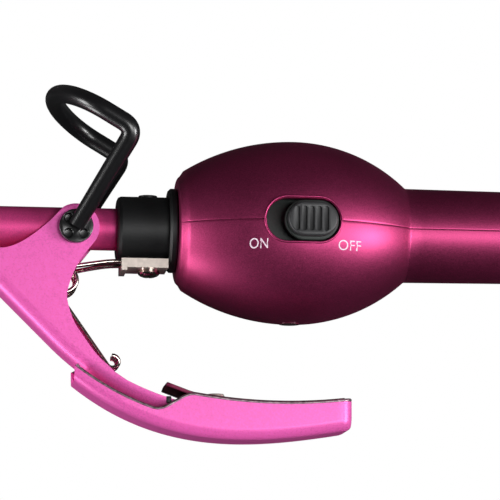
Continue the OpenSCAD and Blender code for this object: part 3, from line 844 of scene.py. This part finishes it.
def rib(name, u, length, z, depth, width):
    """Small rounded block under the plate, across the tray."""
    bm = bmesh.new()
    size = Matrix.Diagonal((length, width, depth, 1))
    middle = Matrix.Translation((-u - length / 2, 0, z + depth / 2))
    bmesh.ops.create_cube(bm, size=1, matrix=middle @ size)
    block = place(name, bm, BLACK_PLASTIC, "clamp")
    round_edges(block, 0.22, 50, 3)
    bake(block)
    block.data.set_sharp_from_angle(angle=math.radians(40))


def screw():
    """Screw with a domed head and a cross recess."""
    z = tray_rim(SCREW_U) - 0.95
    dome = drum((-SCREW_U, 0, z), (0, 0, -1), 2.0, 1.7, 0.85, 48)
    head = place("liner_screw", dome, CLIP_NICKEL, "clamp", ["thumb_screw"])
    slots = []
    for size in ((2.4, 0.5), (0.5, 2.4)):
        bm = bmesh.new()
        shape = Matrix.Diagonal((*size, 1, 1))
        bmesh.ops.create_cube(bm, size=1, matrix=Matrix.Translation((-SCREW_U, 0, z - 0.95)) @ shape)
        slots.append(cutter(bm))
    cut(head, *slots)
    round_edges(head, 0.22, 50, 3)
    bake(head)
    head.data.set_sharp_from_angle(angle=math.radians(40))


def clamp_spring():
    """Two coils, legs under the clip and arms on the bracket; the piece rides on no body, so it does not
    wind as the clamp opens.
    """
    steps = 72
    leave = ARM_ANGLE - math.pi / 2
    turn = 2 * math.pi * 2 + math.pi / 2 + leave
    outer_y = COIL_Y + 1.1 * turn / (2 * math.pi)
    start = Vector((COIL_X + COIL_R * math.cos(leave), COIL_Y, COIL_Z + COIL_R * math.sin(leave)))
    along = Vector((math.cos(ARM_ANGLE), 0, math.sin(ARM_ANGLE)))
    tip = start + ARM_LENGTH * along
    path = smooth_line([(-13.3, 3.4, 7.27), (-8, 3.4, 7.35), (-4, 3.7, 7.9),
                        (-0.5, outer_y - 0.1, COIL_Z - COIL_R - 0.35),
                        (COIL_X, outer_y, COIL_Z - COIL_R)], 4)
    for i in range(1, steps + 1):
        a = -math.pi / 2 + turn * i / steps
        y = outer_y + (COIL_Y - outer_y) * i / steps
        path.append(Vector((COIL_X + COIL_R * math.cos(a), y, COIL_Z + COIL_R * math.sin(a))))
    path += [start + f * ARM_LENGTH * along for f in (0.1, 0.3, 0.5, 0.7, 0.9, 1.0)]
    curl = tip - 1.25 * Vector((math.cos(leave), 0, math.sin(leave)))
    for a in range(20, 241, 20):
        b = leave + math.radians(a)
        path.append(curl + Vector((1.25 * math.cos(b), a * 0.004, 1.25 * math.sin(b))))
    other = [Vector((p.x, -p.y, p.z)) for p in path]
    sizes = [WIRE_R] * len(path)
    mesh = wire_mesh([path, other], [sizes, sizes], "clamp_spring", 4)
    spring = settle("clamp_spring", mesh, NICKEL, None, ["torsion_spring"])
    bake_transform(spring)
    return spring


# ------------------------------------------------------------------ stand


def stand_path():
    """Centre line of the stand's rod, from one hub round to the other."""
    leg = (FOOT - CORNER).normalized()
    enter = CORNER + 3 * leg
    leave = CORNER + 3 * LOOP_DIR
    half = [FOOT.lerp(enter, f) for f in spread(0, 1, 10)]
    for f in spread(0, 1, 14)[1:-1]:
        half.append((1 - f) ** 2 * enter + 2 * f * (1 - f) * CORNER + f * f * leave)
    half += [leave, CORNER + 5 * LOOP_DIR]
    for a in spread(90, 0, 30):
        reach = 7 + 11.6 * math.cos(math.radians(a))
        half.append(CORNER + reach * LOOP_DIR + Vector((0, 17 * (math.sin(math.radians(a)) - 1), 0)))
    return half + [Vector((p.x, -p.y, p.z)) for p in reversed(half[:-1])]


def stand():
    """Dipped wire stand, thinner at the hubs."""
    path = stand_path()
    sizes = [ROD_R * min(1, 0.88 + 0.006 * math.hypot(p.x, p.z)) for p in path]
    mesh = wire_mesh([path], [sizes], "stand_rod", 10)
    settle("stand_rod", mesh, GLOSS_BLACK, "stand", ["stand_loop"], angle=60)
    for side, name in ((-1, "hub_switch_side"), (1, "hub_far_side")):
        hub(side, name)


def hub(side, name):
    """Hub disc: a cross web with four rounded pockets in its outer face."""
    base = Vector((0, side * HUB_IN, PIVOT_Z))
    bm = drum(base, (0, side, 0), HUB_R, HUB_R, HUB_OUT - HUB_IN, 64)
    disc = place(name, bm, GLOSS_BLACK, "stand", ["stand_hubs"])
    tools = []
    for a in (45, 135, 225, 315):
        turn = math.radians(a)
        x = POCKET_AT * math.cos(turn)
        z = PIVOT_Z + POCKET_AT * math.sin(turn)
        spot = Vector((x, side * (HUB_OUT - POCKET_DEPTH), z))
        tools.append(cutter(drum(spot, (0, side, 0), POCKET_R, POCKET_R, 2, 24)))
    cut(disc, *tools)
    round_edges(disc, 0.22, 50, 3)
    bake(disc)
    disc.data.set_sharp_from_angle(angle=math.radians(50))


# ------------------------------------------------------------------ floor, light and camera


def floor_material():
    """Pale floor that is seen evenly lit and gives only a little light back to the object."""
    mat = bpy.data.materials.new("pale_floor")
    mat.use_nodes = True
    nodes = mat.node_tree.nodes
    links = mat.node_tree.links
    nodes.clear()
    out = nodes.new("ShaderNodeOutputMaterial")
    mix = nodes.new("ShaderNodeMixShader")
    ray = nodes.new("ShaderNodeLightPath")
    matte = nodes.new("ShaderNodeBsdfDiffuse")
    glow = nodes.new("ShaderNodeEmission")
    matte.inputs["Color"].default_value = (0.1, 0.1, 0.1, 1)
    glow.inputs["Color"].default_value = (1, 1, 1, 1)
    links.new(ray.outputs["Is Camera Ray"], mix.inputs[0])
    links.new(matte.outputs[0], mix.inputs[1])
    links.new(glow.outputs[0], mix.inputs[2])
    links.new(mix.outputs[0], out.inputs["Surface"])
    return mat


def lay_floor():
    """Large floor under the object."""
    bm = bmesh.new()
    bmesh.ops.create_grid(bm, x_segments=1, y_segments=1, size=4)
    bmesh.ops.translate(bm, verts=bm.verts, vec=(0.15, 0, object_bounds()[0][2] - 0.0005))
    mesh = bpy.data.meshes.new("floor")
    bm.to_mesh(mesh)
    bm.free()
    floor = bpy.data.objects.new("floor", mesh)
    bpy.context.scene.collection.objects.link(floor)
    mesh.materials.append(floor_material())


def set_world():
    """White surroundings to look at, dim ones to be lit and reflected by."""
    world = bpy.data.worlds.new("studio")
    bpy.context.scene.world = world
    world.use_nodes = True
    nodes = world.node_tree.nodes
    links = world.node_tree.links
    back = nodes["Background"]
    ray = nodes.new("ShaderNodeLightPath")
    level = nodes.new("ShaderNodeMapRange")
    level.inputs["To Min"].default_value = 0.018
    level.inputs["To Max"].default_value = 1.0
    links.new(ray.outputs["Is Camera Ray"], level.inputs["Value"])
    links.new(level.outputs[0], back.inputs["Strength"])
    back.inputs["Color"].default_value = (1, 1, 1, 1)


def view_axes():
    """Right, up and backward directions of the camera in the row frame."""
    base = Matrix(((-1, 0, 0), (0, 0, -1), (0, -1, 0)))
    tilt = Matrix.Rotation(math.radians(-8.85), 3, "X")
    swing = Matrix.Rotation(math.radians(6.5), 3, "Y")
    lean = Matrix.Rotation(math.radians(-1.21), 3, "Z")
    return lean @ swing @ tilt @ base


AXES = view_axes()
CAMERA_AWAY = 0.65
TARGET = Vector((PIVOT_X, 0, 0)) + (37.36 * AXES[0] - 4.51 * AXES[1]) * MM


def set_camera():
    """Long lens on the switch's side, with the thumb lever at the bottom of the view."""
    lens = bpy.data.cameras.new("camera")
    lens.lens = 220
    lens.sensor_width = 36
    lens.clip_start = 0.01
    camera = bpy.data.objects.new("camera", lens)
    bpy.context.scene.collection.objects.link(camera)
    turn = AXES.transposed().to_quaternion()
    camera.matrix_world = Matrix.LocRotScale(TARGET + CAMERA_AWAY * AXES[2], turn, None)
    bpy.context.scene.camera = camera


def softbox(name, right, up, back, size, power):
    """Rectangular light, placed along the camera's axes in metres from the target that it is aimed at."""
    data = bpy.data.lights.new(name, "AREA")
    data.shape = "RECTANGLE"
    data.size = size[0]
    data.size_y = size[1]
    data.energy = power
    lamp = bpy.data.objects.new(name, data)
    bpy.context.scene.collection.objects.link(lamp)
    spot = TARGET + right * AXES[0] + up * AXES[1] + back * AXES[2]
    lamp.location = spot
    lamp.rotation_euler = (TARGET - spot).to_track_quat("-Z", "Y").to_euler()


def set_lights():
    """Soft light from the front, from both sides and from the lower left."""
    softbox("front_light", 0.45, 0.06, 0.9, (0.5, 0.3), 4.8)
    softbox("right_light", 0.75, 0.08, 0.35, (0.3, 0.5), 10)
    softbox("left_light", -0.75, -0.02, 0.3, (0.25, 0.4), 4)
    softbox("low_left_light", -0.7, -0.55, 0.2, (0.3, 0.3), 3)


def main():
    """Builds the object and its studio."""
    bpy.context.scene.view_settings.view_transform = "Standard"
    paint_nodes()
    casing_half("casing_lever_side", 1, "shell_lever_side")
    casing_half("casing_stand_side", -1, "shell_stand_side")
    slot_lip("slot_lip_lever_side", 1, 0.22)
    slot_lip("slot_lip_stand_side", -1, 0.34)
    lettering("print_on", "ON", ON_PLACE, 0.84)
    lettering("print_off", "OFF", OFF_PLACE, 0.97)
    switch_knob()
    clamp_bracket()
    thumb_tray()
    liner()
    clamp_spring()
    stand()
    set_world()
    lay_floor()
    set_camera()
    set_lights()


main()
